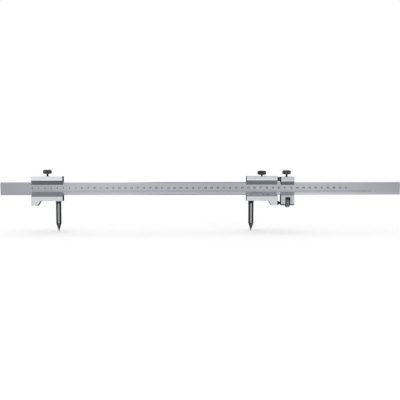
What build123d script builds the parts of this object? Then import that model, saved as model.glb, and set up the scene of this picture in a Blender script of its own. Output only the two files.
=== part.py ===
"""Beam compass: a graduated steel beam that carries two sliding heads with scribing points.

The beam lies along X, the scale faces -Y and the points hang down, so that their tips stand on Z = 0.
X = 0 is the middle of the beam and Y = 0 the middle of its thickness. All sizes are millimetres.
"""

import os
from math import radians, tan

from build123d import *

os.makedirs("parts", exist_ok=True)

# Beam
BEAM_LENGTH = 650.0
BEAM_HEIGHT = 21.0
BEAM_THICKNESS = 5.0
BEAM_CHAMFER = 0.4
SCALE_ZERO = 51.5  # from the beam's left end to the zero of its scale

# Where the heads stand at rest: the scale readings at their scriber axes
LEFT_SETTING = 41.5
RIGHT_SETTING = 354.5

# Fits, each side
SLIDE_CLEARANCE = 0.05  # a channel, tongue or nut that slides on its neighbour
THREAD_CLEARANCE = 0.05  # a screw in its threaded hole
TURN_CLEARANCE = 0.05  # a knob round its stud
SEAT_CLEARANCE = 0.02  # pieces that stay put against each other
BORE_CLEARANCE = 0.2  # the feed screw where it only passes through
HOLE_RUNOUT = 0.8  # a blind hole past the end of what it holds
TOUCH = 1e-6  # two places closer than this are the same

# Channel section that both heads and the carriage share
LIP_EDGE = 0.6  # thickness that a bevelled lip keeps at the window
LIP_COVER = 4.8  # how far a lip reaches over the beam's face
HEAD_UPPER_COVER = 4.25  # the same for a head's upper lip
LIP_ANGLE = 31.5  # degrees between a bevelled lip and the beam's face
GIB_SPACE = 1.6  # room for the gib above the beam
BODY_CHAMFER = 0.4

# Heads
HEAD_LENGTH = 50.5
HEAD_WALL = 4.95  # in front of the beam and behind it
HEAD_UPPER_RAIL = 7.9
HEAD_LOWER_RAIL = 9.45
CLAMP_INSET = 25.3  # clamp screw axis from the head's inner end
SCRIBER_INSET = 7.9  # scriber axis from the head's inner end
STUB_DROP = 7.6  # thumb rest below the lower rail
STUB_ROOT = 14.8
STUB_FOOT = 9.8

# Fine adjustment carriage
CARRIAGE_LENGTH = 21.8
CARRIAGE_WALL = 4.1
CARRIAGE_UPPER_RAIL = 6.9
CARRIAGE_CLAMP_INSET = 9.8
CARRIAGE_FOOT_CHAMFER = 1.8
CARRIAGE_GAP = 5.6  # between the right head and the carriage at rest
SLOT_INSET = 11.4  # middle of the feed nut's slot from the carriage's end
SLOT_WIDTH = 8.3
SLOT_HEADROOM = 2.4  # above the feed nut, in the front half
SLOT_RUNOUT = 0.8  # round the feed nut, where the cutter ran through to the back

# Clamp screws
KNOB_DIAMETER = 14.2
KNOB_THICKNESS = 6.5
KNOB_ROUND = 2.3
KNOB_DISH_DIAMETER = 8.4
KNOB_DISH_DEPTH = 0.5  # on top
KNOB_RECESS_DEPTH = 1.2  # underneath, round the neck
KNOB_BORE_DEPTH = 4.6
KNOB_LIFT = 2.2  # below a tightened knob
NECK_DIAMETER = 3.3
NECK_LENGTH = 3.2
CLAMP_THREAD = 4.0
CLAMP_PITCH = 0.7
SHOE_HEIGHT = 2.0
LEFT_TURNS = 2.5  # turns that each screw is backed off at rest
RIGHT_TURNS = 0.0
CARRIAGE_TURNS = 1.0

# Gibs and their set screws
GIB_THICKNESS = 1.0
GIB_LENGTH = 20.0
CARRIAGE_GIB_LENGTH = 12.0
GIB_SCREW_THREAD = 3.0
GIB_SCREW_SPACING = 8.0  # from the clamp screw axis
CARRIAGE_GIB_SCREW_SPACING = 6.2
GIB_SCREW_SINK = 0.8  # below the rail's top face
GIB_SCREW_POINT = 1.6  # diameter of the dog point
GIB_SCREW_POINT_LENGTH = 0.4
DRIVER_SLOT_WIDTH = 0.5
DRIVER_SLOT_DEPTH = 0.9

# Guide tongue between carriage and right head
TONGUE_HEIGHT = 6.7
TONGUE_LIFT = 1.1  # above the beam
TONGUE_SEAT = 6.0  # length held in the carriage
TONGUE_REACH = 7.0  # length inside the head at rest
TONGUE_PIN = 2.0
TONGUE_PIN_SINK = 2.0  # pin's reach into the front wall
TONGUE_PIN_INSET = 0.4  # pin's end below the back face

# Fine feed
FEED_DROP = 3.9  # screw axis below the lower rail
FEED_THREAD = 4.0
FEED_SEAT = 9.0  # screw length held in the stub
FEED_IN = 2.4  # head's travel towards the carriage
FEED_TAIL = 1.6  # screw's reach past the slot at rest
LOCKNUT_ACROSS = 5.6
LOCKNUT_THICKNESS = 3.0
FEED_NUT_DIAMETER = 14.6
FEED_NUT_STEP = 0.05  # hub proud of the rim, each side
FEED_NUT_ROUND = 3.0
FEED_NUT_HUB = 8.0

# Scribers
SCRIBER_REACH = 49.2  # from the lower rail to the tip
SCRIBER_DIAMETER = 8.5
SCRIBER_THREAD = 5.0
SCRIBER_SEAT = 7.0
SCRIBER_CHAMFER = 0.4
POINT_LENGTH = 13.0
TIP_DIAMETER = 0.6
COLLAR_DIAMETER = 9.0
COLLAR_HEIGHT = 3.9
COLLAR_CHAMFER = 0.3

# Levels
LOWER_RAIL_Z = SCRIBER_REACH
CHANNEL_FLOOR = LOWER_RAIL_Z + HEAD_LOWER_RAIL
BEAM_BOTTOM = CHANNEL_FLOOR + SLIDE_CLEARANCE
BEAM_TOP = BEAM_BOTTOM + BEAM_HEIGHT
CHANNEL_CEILING = BEAM_TOP + GIB_SPACE
HEAD_TOP = CHANNEL_CEILING + HEAD_UPPER_RAIL
CARRIAGE_TOP = CHANNEL_CEILING + CARRIAGE_UPPER_RAIL
FOOT_Z = LOWER_RAIL_Z - STUB_DROP
FEED_Z = LOWER_RAIL_Z - FEED_DROP
GIB_BOTTOM = BEAM_TOP + SLIDE_CLEARANCE
GIB_TOP = GIB_BOTTOM + GIB_THICKNESS
SHOE_BOTTOM = GIB_TOP + SEAT_CLEARANCE
TONGUE_BOTTOM = BEAM_TOP + TONGUE_LIFT
TONGUE_TOP = TONGUE_BOTTOM + TONGUE_HEIGHT

# Depths
CHANNEL_HALF = BEAM_THICKNESS / 2 + SLIDE_CLEARANCE
HEAD_HALF = CHANNEL_HALF + HEAD_WALL
CARRIAGE_HALF = CHANNEL_HALF + CARRIAGE_WALL

# Stations along the beam
BEAM_START = -BEAM_LENGTH / 2
LEFT_SCRIBER_X = BEAM_START + SCALE_ZERO + LEFT_SETTING
RIGHT_SCRIBER_X = BEAM_START + SCALE_ZERO + RIGHT_SETTING
LEFT_INNER_X = LEFT_SCRIBER_X + SCRIBER_INSET
RIGHT_INNER_X = RIGHT_SCRIBER_X - SCRIBER_INSET
RIGHT_OUTER_X = RIGHT_INNER_X + HEAD_LENGTH
CARRIAGE_X = RIGHT_OUTER_X + CARRIAGE_GAP
SLOT_X = CARRIAGE_X + SLOT_INSET
CARRIAGE_CLAMP_X = CARRIAGE_X + CARRIAGE_CLAMP_INSET


def block(x_span, y_span, z_span):
    """A rectangular block between three pairs of limits."""
    low = [min(span) for span in (x_span, y_span, z_span)]
    high = [max(span) for span in (x_span, y_span, z_span)]
    middle = [(a + b) / 2 for a, b in zip(low, high)]
    return Pos(*middle) * Box(*[b - a for a, b in zip(low, high)])


def rod_x(diameter, x_from, x_to, z):
    """A round rod along X at height z."""
    return Pos((x_from + x_to) / 2, 0, z) * Rot(0, 90, 0) * Cylinder(diameter / 2, abs(x_to - x_from))


def rod_y(diameter, y_from, y_to, x, z):
    """A round rod along Y."""
    return Pos(x, (y_from + y_to) / 2, z) * Rot(90, 0, 0) * Cylinder(diameter / 2, abs(y_to - y_from))


def rod_z(diameter, z_from, z_to, x):
    """An upright round rod at station x."""
    return Pos(x, 0, (z_from + z_to) / 2) * Cylinder(diameter / 2, abs(z_to - z_from))


def turned(points, x=0.0, z=0.0):
    """A solid turned about an upright axis at station x from (radius, height) points."""
    outline = make_face(Polyline(*[(r, 0, h) for r, h in points], close=True))
    return Pos(x, 0, z) * revolve(outline, Axis.Z)


def bevel_height(half):
    """Height of the bevelled lips on a channel that is this far from its middle to its front."""
    return (half - CHANNEL_HALF - LIP_EDGE) / tan(radians(LIP_ANGLE))


def channel(x_span, half, top, bottom, upper_cover=LIP_COVER):
    """The C-shaped section that rides on the beam, open at the front between two bevelled lips."""
    bevel = bevel_height(half)
    lip_y = -CHANNEL_HALF - LIP_EDGE
    upper_edge = BEAM_TOP - upper_cover
    lower_edge = BEAM_BOTTOM + LIP_COVER
    start = min(x_span)
    outline = [
        (-half, bottom),
        (half, bottom),
        (half, top),
        (-half, top),
        (-half, upper_edge + bevel),
        (lip_y, upper_edge),
        (-CHANNEL_HALF, upper_edge),
        (-CHANNEL_HALF, CHANNEL_CEILING),
        (CHANNEL_HALF, CHANNEL_CEILING),
        (CHANNEL_HALF, CHANNEL_FLOOR),
        (-CHANNEL_HALF, CHANNEL_FLOOR),
        (-CHANNEL_HALF, lower_edge),
        (lip_y, lower_edge),
        (-half, lower_edge - bevel),
    ]
    face = make_face(Polyline(*[(start, y, z) for y, z in outline], close=True))
    return extrude(face, amount=abs(x_span[1] - x_span[0]), dir=(1, 0, 0))


def break_edges(body, half, size, upper_cover=LIP_COVER):
    """Chamfers the outline of the front and back faces, but not the lines where the bevels start."""
    bevel = bevel_height(half)
    starts = (BEAM_TOP - upper_cover + bevel, BEAM_BOTTOM + LIP_COVER - bevel)
    rims = []
    for edge in body.edges():
        box = edge.bounding_box()
        in_face = box.size.Y < TOUCH and abs(abs(box.min.Y) - half) < TOUCH
        on_start = box.size.Z < TOUCH and min(abs(box.min.Z - level) for level in starts) < TOUCH
        if in_face and edge.geom_type == GeomType.LINE and not on_start:
            rims.append(edge)
    return chamfer(rims, size)


def thumb_stub(outer_x, side):
    """The sloped thumb rest under the outer end of a head; side is +1 on the right head."""
    corners = [
        (outer_x, LOWER_RAIL_Z),
        (outer_x, FOOT_Z),
        (outer_x - side * STUB_FOOT, FOOT_Z),
        (outer_x - side * STUB_ROOT, LOWER_RAIL_Z),
    ]
    face = make_face(Polyline(*[(x, -HEAD_HALF, z) for x, z in corners], close=True))
    return extrude(face, amount=2 * HEAD_HALF, dir=(0, 1, 0))


def head_blank(inner_x, side):
    """A head before drilling: channel, thumb stub and broken edges; side is +1 on the right head."""
    outer_x = inner_x + side * HEAD_LENGTH
    body = channel(sorted((inner_x, outer_x)), HEAD_HALF, HEAD_TOP, LOWER_RAIL_Z, HEAD_UPPER_COVER)
    body += thumb_stub(outer_x, side)
    return break_edges(body, HEAD_HALF, BODY_CHAMFER, HEAD_UPPER_COVER)


def clamp_hole(x, top):
    """Threaded hole for a clamp screw, from the channel up through the rail."""
    return rod_z(CLAMP_THREAD + 2 * THREAD_CLEARANCE, CHANNEL_CEILING - GIB_SPACE / 2, top + 1, x)


def gib_screw_hole(x, top):
    """Threaded hole for a gib set screw."""
    return rod_z(GIB_SCREW_THREAD + 2 * THREAD_CLEARANCE, CHANNEL_CEILING - GIB_SPACE / 2, top + 1, x)


def scriber_hole(x):
    """Blind threaded hole for a scriber shank, from below."""
    depth = SCRIBER_SEAT + HOLE_RUNOUT
    return rod_z(SCRIBER_THREAD + 2 * THREAD_CLEARANCE, LOWER_RAIL_Z - 1, LOWER_RAIL_Z + depth, x)


def gib_screw_stations(clamp_x):
    """The two set screws of a head stand either side of its clamp screw."""
    return (clamp_x - GIB_SCREW_SPACING, clamp_x + GIB_SCREW_SPACING)


def head_body(inner_x, side):
    """A drilled head."""
    clamp_x = inner_x + side * CLAMP_INSET
    body = head_blank(inner_x, side)
    body -= clamp_hole(clamp_x, HEAD_TOP)
    for x in gib_screw_stations(clamp_x):
        body -= gib_screw_hole(x, HEAD_TOP)
    return body - scriber_hole(inner_x + side * SCRIBER_INSET)


def right_head_body():
    """The right head also takes the guide tongue and the feed screw."""
    body = head_body(RIGHT_INNER_X, 1)
    pocket_depth = TONGUE_REACH + FEED_IN + HOLE_RUNOUT
    body -= block(
        (RIGHT_OUTER_X - pocket_depth, RIGHT_OUTER_X + 1),
        (-CHANNEL_HALF, CHANNEL_HALF),
        (CHANNEL_CEILING - GIB_SPACE / 2, TONGUE_TOP + SLIDE_CLEARANCE),
    )
    hole_end = RIGHT_OUTER_X - FEED_SEAT - HOLE_RUNOUT
    return body - rod_x(FEED_THREAD + 2 * THREAD_CLEARANCE, hole_end, RIGHT_OUTER_X + 1, FEED_Z)


def feed_slot():
    """The feed nut's slot: square in front, and round behind, where the roof comes down over the nut."""
    nut_radius = FEED_NUT_DIAMETER / 2
    span = (SLOT_X - SLOT_WIDTH / 2, SLOT_X + SLOT_WIDTH / 2)
    depth = CARRIAGE_HALF + 1
    slot = block(span, (-depth, 0), (FOOT_Z - 1, FEED_Z + nut_radius + SLOT_HEADROOM))
    slot += block(span, (-depth, depth), (FOOT_Z - 1, FEED_Z))
    return slot + rod_x(2 * (nut_radius + SLOT_RUNOUT), *span, FEED_Z)


def carriage_body():
    """The short clamp carriage, slotted from below for the feed nut."""
    end = CARRIAGE_X + CARRIAGE_LENGTH
    body = channel((CARRIAGE_X, end), CARRIAGE_HALF, CARRIAGE_TOP, FOOT_Z)
    feet = body.edges().filter_by(Axis.X).group_by(Axis.Z)[0]
    body = chamfer(feet, CARRIAGE_FOOT_CHAMFER)
    body = break_edges(body, CARRIAGE_HALF, BODY_CHAMFER)
    body -= feed_slot()
    body -= rod_x(FEED_THREAD + 2 * BORE_CLEARANCE, CARRIAGE_X - 1, end + 1, FEED_Z)
    body -= clamp_hole(CARRIAGE_CLAMP_X, CARRIAGE_TOP)
    body -= gib_screw_hole(CARRIAGE_CLAMP_X + CARRIAGE_GIB_SCREW_SPACING, CARRIAGE_TOP)
    seat_half = BEAM_THICKNESS / 2 + SEAT_CLEARANCE
    body -= block(
        (CARRIAGE_X - 1, CARRIAGE_X + TONGUE_SEAT + SEAT_CLEARANCE),
        (-seat_half, seat_half),
        (CHANNEL_CEILING - GIB_SPACE / 2, TONGUE_TOP + SEAT_CLEARANCE),
    )
    return body - tongue_pin_rod(TONGUE_PIN + 2 * SEAT_CLEARANCE, HOLE_RUNOUT)


def tongue_pin_rod(diameter, overrun):
    """The pin that holds the tongue, put in from the back; overrun lengthens it for its hole."""
    front = -CHANNEL_HALF - TONGUE_PIN_SINK - overrun
    return rod_y(
        diameter, front, CARRIAGE_HALF - TONGUE_PIN_INSET + overrun,
        CARRIAGE_X + TONGUE_SEAT / 2, (TONGUE_BOTTOM + TONGUE_TOP) / 2,
    )


def guide_tongue():
    """Flat bar that keeps the carriage in line with the head."""
    bar = block(
        (RIGHT_OUTER_X - TONGUE_REACH, CARRIAGE_X + TONGUE_SEAT),
        (-BEAM_THICKNESS / 2, BEAM_THICKNESS / 2),
        (TONGUE_BOTTOM, TONGUE_TOP),
    )
    return bar - tongue_pin_rod(TONGUE_PIN + 2 * SEAT_CLEARANCE, HOLE_RUNOUT)


def beam():
    """The graduated bar, with broken edges all round."""
    bar = block(
        (BEAM_START, BEAM_START + BEAM_LENGTH),
        (-BEAM_THICKNESS / 2, BEAM_THICKNESS / 2),
        (BEAM_BOTTOM, BEAM_TOP),
    )
    return chamfer(bar.edges(), BEAM_CHAMFER)


def gib(x_from, x_to, screw_stations):
    """Bronze strip between the beam's top edge and the rail, dimpled for its set screws."""
    strip = block((x_from, x_to), (-BEAM_THICKNESS / 2, BEAM_THICKNESS / 2), (GIB_BOTTOM, GIB_TOP))
    for x in screw_stations:
        dimple = GIB_SCREW_POINT + 2 * THREAD_CLEARANCE
        strip -= rod_z(dimple, GIB_TOP - GIB_SCREW_POINT_LENGTH, GIB_TOP + 1, x)
    return strip


def gib_screw(x, rail_top):
    """Slotted set screw with a dog point that sits in the gib's dimple."""
    shoulder = GIB_TOP + SEAT_CLEARANCE
    top = rail_top - GIB_SCREW_SINK
    screw = rod_z(GIB_SCREW_THREAD, shoulder, top, x)
    screw += rod_z(GIB_SCREW_POINT, shoulder - GIB_SCREW_POINT_LENGTH, shoulder, x)
    reach = GIB_SCREW_THREAD
    return screw - block(
        (x - reach, x + reach),
        (-DRIVER_SLOT_WIDTH / 2, DRIVER_SLOT_WIDTH / 2),
        (top - DRIVER_SLOT_DEPTH, top + 1),
    )


def clamp_shoe(x):
    """Brass pad between the clamp screw's tip and the gib."""
    return rod_z(CLAMP_THREAD, SHOE_BOTTOM, SHOE_BOTTOM + SHOE_HEIGHT, x)


def tip_level(turns):
    """Height of a clamp screw's tip when it is backed off by some turns."""
    return SHOE_BOTTOM + SHOE_HEIGHT + SEAT_CLEARANCE + turns * CLAMP_PITCH


def knob_level(turns):
    """Height of a clamp knob's underside; every clamp screw is as long as the heads need."""
    return tip_level(turns) + HEAD_TOP + KNOB_LIFT - tip_level(0)


def clamp_stud(x, turns):
    """Threaded stud with a plain neck that the knob sits on."""
    tip = tip_level(turns)
    under = knob_level(turns)
    stud = rod_z(CLAMP_THREAD, tip, under - NECK_LENGTH, x)
    return stud + rod_z(NECK_DIAMETER, under - NECK_LENGTH, under + KNOB_BORE_DEPTH, x)


def rounded_disc(diameter, thickness, rounding):
    """A disc with a rounded rim, standing on Z = 0."""
    disc = Pos(0, 0, thickness / 2) * Cylinder(diameter / 2, thickness)
    return fillet(disc.edges(), rounding)


def clamp_knob(x, turns):
    """Round thumb knob with a rounded rim and a shallow dish on top."""
    knob = rounded_disc(KNOB_DIAMETER, KNOB_THICKNESS, KNOB_ROUND)
    knob -= Pos(0, 0, KNOB_THICKNESS) * Cylinder(KNOB_DISH_DIAMETER / 2, 2 * KNOB_DISH_DEPTH)
    knob -= Cylinder(KNOB_DISH_DIAMETER / 2, 2 * KNOB_RECESS_DEPTH)
    bore = rod_z(NECK_DIAMETER + 2 * TURN_CLEARANCE, -1, KNOB_BORE_DEPTH + SEAT_CLEARANCE, 0)
    return Pos(x, 0, knob_level(turns)) * (knob - bore)


def feed_screw():
    """Fine feed screw, fixed in the head's stub and free in the carriage."""
    end = SLOT_X + SLOT_WIDTH / 2 + FEED_TAIL
    return rod_x(FEED_THREAD, RIGHT_OUTER_X - FEED_SEAT, end, FEED_Z)


def feed_locknut():
    """Hexagon nut that locks the feed screw against the head."""
    start = RIGHT_OUTER_X + SEAT_CLEARANCE
    hexagon = RegularPolygon(LOCKNUT_ACROSS / 2, 6, major_radius=False)
    nut = extrude(Plane.YZ * hexagon, amount=LOCKNUT_THICKNESS)
    nut = Pos(start, 0, FEED_Z) * nut
    bore = FEED_THREAD + 2 * THREAD_CLEARANCE
    return nut - rod_x(bore, start - 1, start + LOCKNUT_THICKNESS + 1, FEED_Z)


def feed_nut():
    """Thumb wheel in the carriage's slot, threaded on the feed screw."""
    hub_length = SLOT_WIDTH - 2 * SLIDE_CLEARANCE
    rim = hub_length - 2 * FEED_NUT_STEP
    wheel = Pos(0, 0, -rim / 2) * rounded_disc(FEED_NUT_DIAMETER, rim, FEED_NUT_ROUND)
    wheel += Cylinder(FEED_NUT_HUB / 2, hub_length)
    wheel -= Cylinder(FEED_THREAD / 2 + THREAD_CLEARANCE, 2 * SLOT_WIDTH)
    return Pos(SLOT_X, 0, FEED_Z) * Rot(0, 90, 0) * wheel


def scriber(x):
    """Hardened scriber: threaded shank, round body and ground point."""
    radius = SCRIBER_DIAMETER / 2
    shoulder = LOWER_RAIL_Z - SEAT_CLEARANCE - COLLAR_HEIGHT - SEAT_CLEARANCE
    return turned(
        [
            (0, 0),
            (TIP_DIAMETER / 2, 0),
            (radius, POINT_LENGTH),
            (radius, shoulder - SCRIBER_CHAMFER),
            (radius - SCRIBER_CHAMFER, shoulder),
            (SCRIBER_THREAD / 2, shoulder),
            (SCRIBER_THREAD / 2, LOWER_RAIL_Z + SCRIBER_SEAT),
            (0, LOWER_RAIL_Z + SCRIBER_SEAT),
        ],
        x,
    )


def scriber_collar(x):
    """Round lock nut between a scriber's shoulder and its head."""
    top = LOWER_RAIL_Z - SEAT_CLEARANCE
    ring = Pos(x, 0, top - COLLAR_HEIGHT / 2) * Cylinder(COLLAR_DIAMETER / 2, COLLAR_HEIGHT)
    ring = chamfer(ring.edges().filter_by(GeomType.CIRCLE), COLLAR_CHAMFER)
    bore = SCRIBER_THREAD + 2 * THREAD_CLEARANCE
    return ring - rod_z(bore, top - COLLAR_HEIGHT - 1, top + 1, x)


def head_fittings(name, inner_x, side, turns):
    """Everything that both heads carry, by node name."""
    clamp_x = inner_x + side * CLAMP_INSET
    scriber_x = inner_x + side * SCRIBER_INSET
    stations = gib_screw_stations(clamp_x)
    return {
        f"{name}_gib": gib(clamp_x - GIB_LENGTH / 2, clamp_x + GIB_LENGTH / 2, stations),
        f"{name}_gib_screws": Compound(children=[gib_screw(x, HEAD_TOP) for x in stations]),
        f"{name}_clamp_shoe": clamp_shoe(clamp_x),
        f"{name}_clamp_stud": clamp_stud(clamp_x, turns),
        f"{name}_clamp_knob": clamp_knob(clamp_x, turns),
        f"{name}_scriber": scriber(scriber_x),
        f"{name}_scriber_collar": scriber_collar(scriber_x),
    }


def carriage_fittings():
    """The carriage's own gib and clamp, by node name."""
    x = CARRIAGE_CLAMP_X
    screw_x = x + CARRIAGE_GIB_SCREW_SPACING
    gib_end = screw_x + GIB_SCREW_THREAD
    return {
        "carriage_gib": gib(gib_end - CARRIAGE_GIB_LENGTH, gib_end, [screw_x]),
        "carriage_gib_screw": gib_screw(screw_x, CARRIAGE_TOP),
        "carriage_clamp_shoe": clamp_shoe(x),
        "carriage_clamp_stud": clamp_stud(x, CARRIAGE_TURNS),
        "carriage_clamp_knob": clamp_knob(x, CARRIAGE_TURNS),
    }


nodes = {
    "beam": beam(),
    "left_head_body": head_body(LEFT_INNER_X, -1),
    "right_head_body": right_head_body(),
    "carriage_body": carriage_body(),
    "guide_tongue": guide_tongue(),
    "tongue_pin": tongue_pin_rod(TONGUE_PIN, 0),
    "feed_screw": feed_screw(),
    "feed_locknut": feed_locknut(),
    "feed_nut": feed_nut(),
}
nodes.update(head_fittings("left", LEFT_INNER_X, -1, LEFT_TURNS))
nodes.update(head_fittings("right", RIGHT_INNER_X, 1, RIGHT_TURNS))
nodes.update(carriage_fittings())

for name, shape in nodes.items():
    export_step(shape, f"parts/{name}.step")
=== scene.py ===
from math import atan2, cos, hypot, pi, radians, sin, tau

import bmesh
import bpy
from bpy.props import FloatProperty, FloatVectorProperty, IntProperty, PointerProperty
from bpy.types import Operator, Panel, PropertyGroup
from mathutils import Matrix, Vector


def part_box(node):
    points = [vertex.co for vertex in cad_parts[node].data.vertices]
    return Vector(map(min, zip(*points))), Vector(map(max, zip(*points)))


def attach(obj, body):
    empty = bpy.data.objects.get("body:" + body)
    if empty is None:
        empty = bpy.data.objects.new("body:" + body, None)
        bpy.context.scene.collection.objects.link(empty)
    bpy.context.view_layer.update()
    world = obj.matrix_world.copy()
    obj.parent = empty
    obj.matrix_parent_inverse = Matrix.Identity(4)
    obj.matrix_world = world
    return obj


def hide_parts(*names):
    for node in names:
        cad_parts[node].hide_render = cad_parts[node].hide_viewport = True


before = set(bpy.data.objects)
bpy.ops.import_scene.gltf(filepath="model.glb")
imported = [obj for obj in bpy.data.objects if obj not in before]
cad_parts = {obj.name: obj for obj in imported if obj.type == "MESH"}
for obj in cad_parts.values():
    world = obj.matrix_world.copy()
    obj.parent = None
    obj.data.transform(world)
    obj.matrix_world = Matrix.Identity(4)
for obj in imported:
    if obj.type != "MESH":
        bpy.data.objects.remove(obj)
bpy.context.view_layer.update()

bl_info = {
    "name": "Beam Compass",
    "version": (1, 0, 0),
    "blender": (4, 5, 0),
    "location": "3D View > Sidebar > Beam Compass",
    "description": "Dresses a vernier beam compass: finishes, knurls, threads, scales and a studio",
    "category": "Object",
}

MM = 0.001
SNUG = 0.02 * MM  # a mark's height above its face, and the slack for telling places apart
WELD = 0.001 * MM  # vertices closer than this are one
MOST_CUTS = 100  # that one subdivision makes
SIDES = (1, -1)  # of a disc or a rod: upper and lower

# What carries a clamp; its body and nodes are named after it
CLAMPED = ("left", "right", "carriage")


# ---- Places in the frame ----


def middle(node):
    """The middle of a node's box at rest."""
    low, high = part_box(node)
    return (low + high) / 2


def size(node):
    """The extents of a node's box at rest."""
    low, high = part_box(node)
    return high - low


def lip(node, side):
    """The bevel of a body's lower lip (+1) or upper lip (-1).

    Returns its front edge and its window edge, as (0, y, z).
    """
    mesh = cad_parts[node].data
    bevels = [f for f in mesh.polygons if f.normal.y < -0.7 and 0.4 < f.normal.z * side < 0.65]
    corners = [mesh.vertices[i].co for i in max(bevels, key=lambda f: f.area).vertices]
    front = min(corners, key=lambda p: p.y)
    window = max(corners, key=lambda p: p.y)
    return Vector((0, front.y, front.z)), Vector((0, window.y, window.z))


BEAM_LOW, BEAM_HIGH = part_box("beam")
BEAM_MIDDLE = middle("beam")


# ---- Colour and shader helpers ----


def linear(hex_colour):
    """An sRGB hex colour as linear RGBA."""
    channels = [int(hex_colour[i:i + 2], 16) / 255 for i in (1, 3, 5)]
    return [
        c / 12.92 if c <= 0.04045 else ((c + 0.055) / 1.055) ** 2.4 for c in channels
    ] + [1.0]


def new_material(name, metallic, roughness):
    """A material with its tree, its shader and its object coordinates node."""
    material = bpy.data.materials.new(name)
    material.use_nodes = True
    tree = material.node_tree
    shader = tree.nodes["Principled BSDF"]
    shader.inputs["Metallic"].default_value = metallic
    shader.inputs["Roughness"].default_value = roughness
    return material, tree, shader, add_node(tree, "ShaderNodeTexCoord")


def add_node(tree, kind, inputs=None, **settings):
    """Adds a shader node with its settings; an input takes a socket or a value."""
    node = tree.nodes.new(kind)
    for name, value in settings.items():
        setattr(node, name, value)
    for key, value in (inputs or {}).items():
        if isinstance(value, bpy.types.NodeSocket):
            tree.links.new(value, node.inputs[key])
        else:
            node.inputs[key].default_value = value
    return node


def place_and_facing(tree, place):
    """Where a point is and which way its surface faces, each as X, Y and Z."""
    return [
        add_node(tree, "ShaderNodeSeparateXYZ", {0: place.outputs[name]}).outputs
        for name in ("Object", "Normal")
    ]


def distance(tree, value, centre=0.0):
    """How far a value is from a centre, on either side."""
    off = add_node(tree, "ShaderNodeMath", {0: value, 1: centre}, operation="SUBTRACT")
    off = add_node(tree, "ShaderNodeMath", {0: off.outputs[0]}, operation="ABSOLUTE")
    return off.outputs[0]


def mask(tree, *fades):
    """1 where each value is past its end, 0 where one is short of its start, smooth between.

    A fade is (value, start, end).
    """
    cover = None
    for value, start, end in fades:
        fade = add_node(tree, "ShaderNodeMapRange", {
            "Value": value, "From Min": start, "From Max": end,
        }, interpolation_type="SMOOTHSTEP").outputs["Result"]
        if cover:
            both = add_node(tree, "ShaderNodeMath", {0: cover, 1: fade}, operation="MULTIPLY")
            fade = both.outputs[0]
        cover = fade
    return cover


def coat(tree, colour, *coats):
    """A colour with others laid over it in turn; a coat is (mask, colour)."""
    for cover, over in coats:
        mixed = add_node(
            tree, "ShaderNodeMix", {0: cover, 6: colour, 7: over}, data_type="RGBA"
        )
        colour = mixed.outputs[2]
    return colour


def toned(tree, colour, tone):
    """A colour made darker or lighter by a grey tone."""
    grey = add_node(tree, "ShaderNodeCombineColor", {0: tone, 1: tone, 2: tone})
    mixed = add_node(
        tree, "ShaderNodeMix", {0: 1.0, 6: colour, 7: grey.outputs[0]},
        data_type="RGBA", blend_type="MULTIPLY",
    )
    return mixed.outputs[2]


def grain(tree, place, spacing, seed=0.0):
    """Noise with its own spacing along X, Y and Z, in metres."""
    mapping = add_node(tree, "ShaderNodeMapping", {
        "Vector": place.outputs["Object"], "Scale": [1 / s for s in spacing],
        "Location": (seed, seed * 2, seed * 3),
    })
    noise = add_node(tree, "ShaderNodeTexNoise", {
        "Vector": mapping.outputs[0], "Scale": 1.0, "Roughness": 0.55,
    })
    return noise.outputs["Fac"]


def spread(tree, noise, low, high):
    """Noise, which keeps near its middle, spread over a range."""
    node = add_node(tree, "ShaderNodeMapRange", {
        "Value": noise, "From Min": 0.25, "From Max": 0.75, "To Min": low, "To Max": high,
    })
    return node.outputs["Result"]


def link_surface(tree, shader, colour, height, depth, roughness):
    """Gives the shader a colour, a bump of real depth and a roughness."""
    bump = add_node(tree, "ShaderNodeBump", {"Height": height, "Distance": depth})
    tree.links.new(colour, shader.inputs["Base Color"])
    tree.links.new(bump.outputs[0], shader.inputs["Normal"])
    tree.links.new(roughness, shader.inputs["Roughness"])


def dress(nodes, material):
    """Puts one material on CAD nodes."""
    for name in nodes:
        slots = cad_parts[name].data.materials
        slots.clear()
        slots.append(material)


# ---- Modelling helpers ----


def deselect():
    """Leaves nothing selected, in object mode."""
    if bpy.context.object and bpy.context.object.mode != "OBJECT":
        bpy.ops.object.mode_set(mode="OBJECT")
    bpy.ops.object.select_all(action="DESELECT")


def select_only(objects):
    """Selects these objects, the first one active."""
    deselect()
    for obj in objects:
        obj.select_set(True)
    bpy.context.view_layer.objects.active = objects[0]


def choose(obj, kind, test):
    """In edit mode, selects the vertices, edges or faces that pass a test, and nothing else."""
    bpy.ops.mesh.select_mode(type=kind)
    bpy.ops.mesh.select_all(action="DESELECT")
    mesh = bmesh.from_edit_mesh(obj.data)
    for element in {"VERT": mesh.verts, "EDGE": mesh.edges, "FACE": mesh.faces}[kind]:
        if test(element):
            element.select_set(True)
    mesh.select_flush_mode()
    bmesh.update_edit_mesh(obj.data)


def shrink(share):
    """Draws what is selected towards the Z axis, to a share of its radius."""
    bpy.ops.transform.resize(value=(share, share, 1), center_override=(0, 0, 0))


def extrude_along_z(rise):
    """Draws out the chosen face along Z."""
    bpy.ops.mesh.extrude_region_move(TRANSFORM_OT_translate={"value": (0, 0, rise)})


def apply_place(obj, matrix=None):
    """Moves an object's place, turn and scale into its mesh."""
    select_only([obj])
    if matrix:
        obj.matrix_world = matrix @ obj.matrix_world
    bpy.ops.object.transform_apply()


def join(objects, name):
    """Makes several meshes one piece."""
    select_only(objects)
    bpy.ops.object.join()
    objects[0].name = name
    return objects[0]


def finish_piece(piece, body, material, replaces=()):
    """Gives a finished piece its material, its body and the nodes that it stands for."""
    piece.data.materials.append(material)
    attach(piece, body)
    if replaces:
        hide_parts(*replaces)


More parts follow.
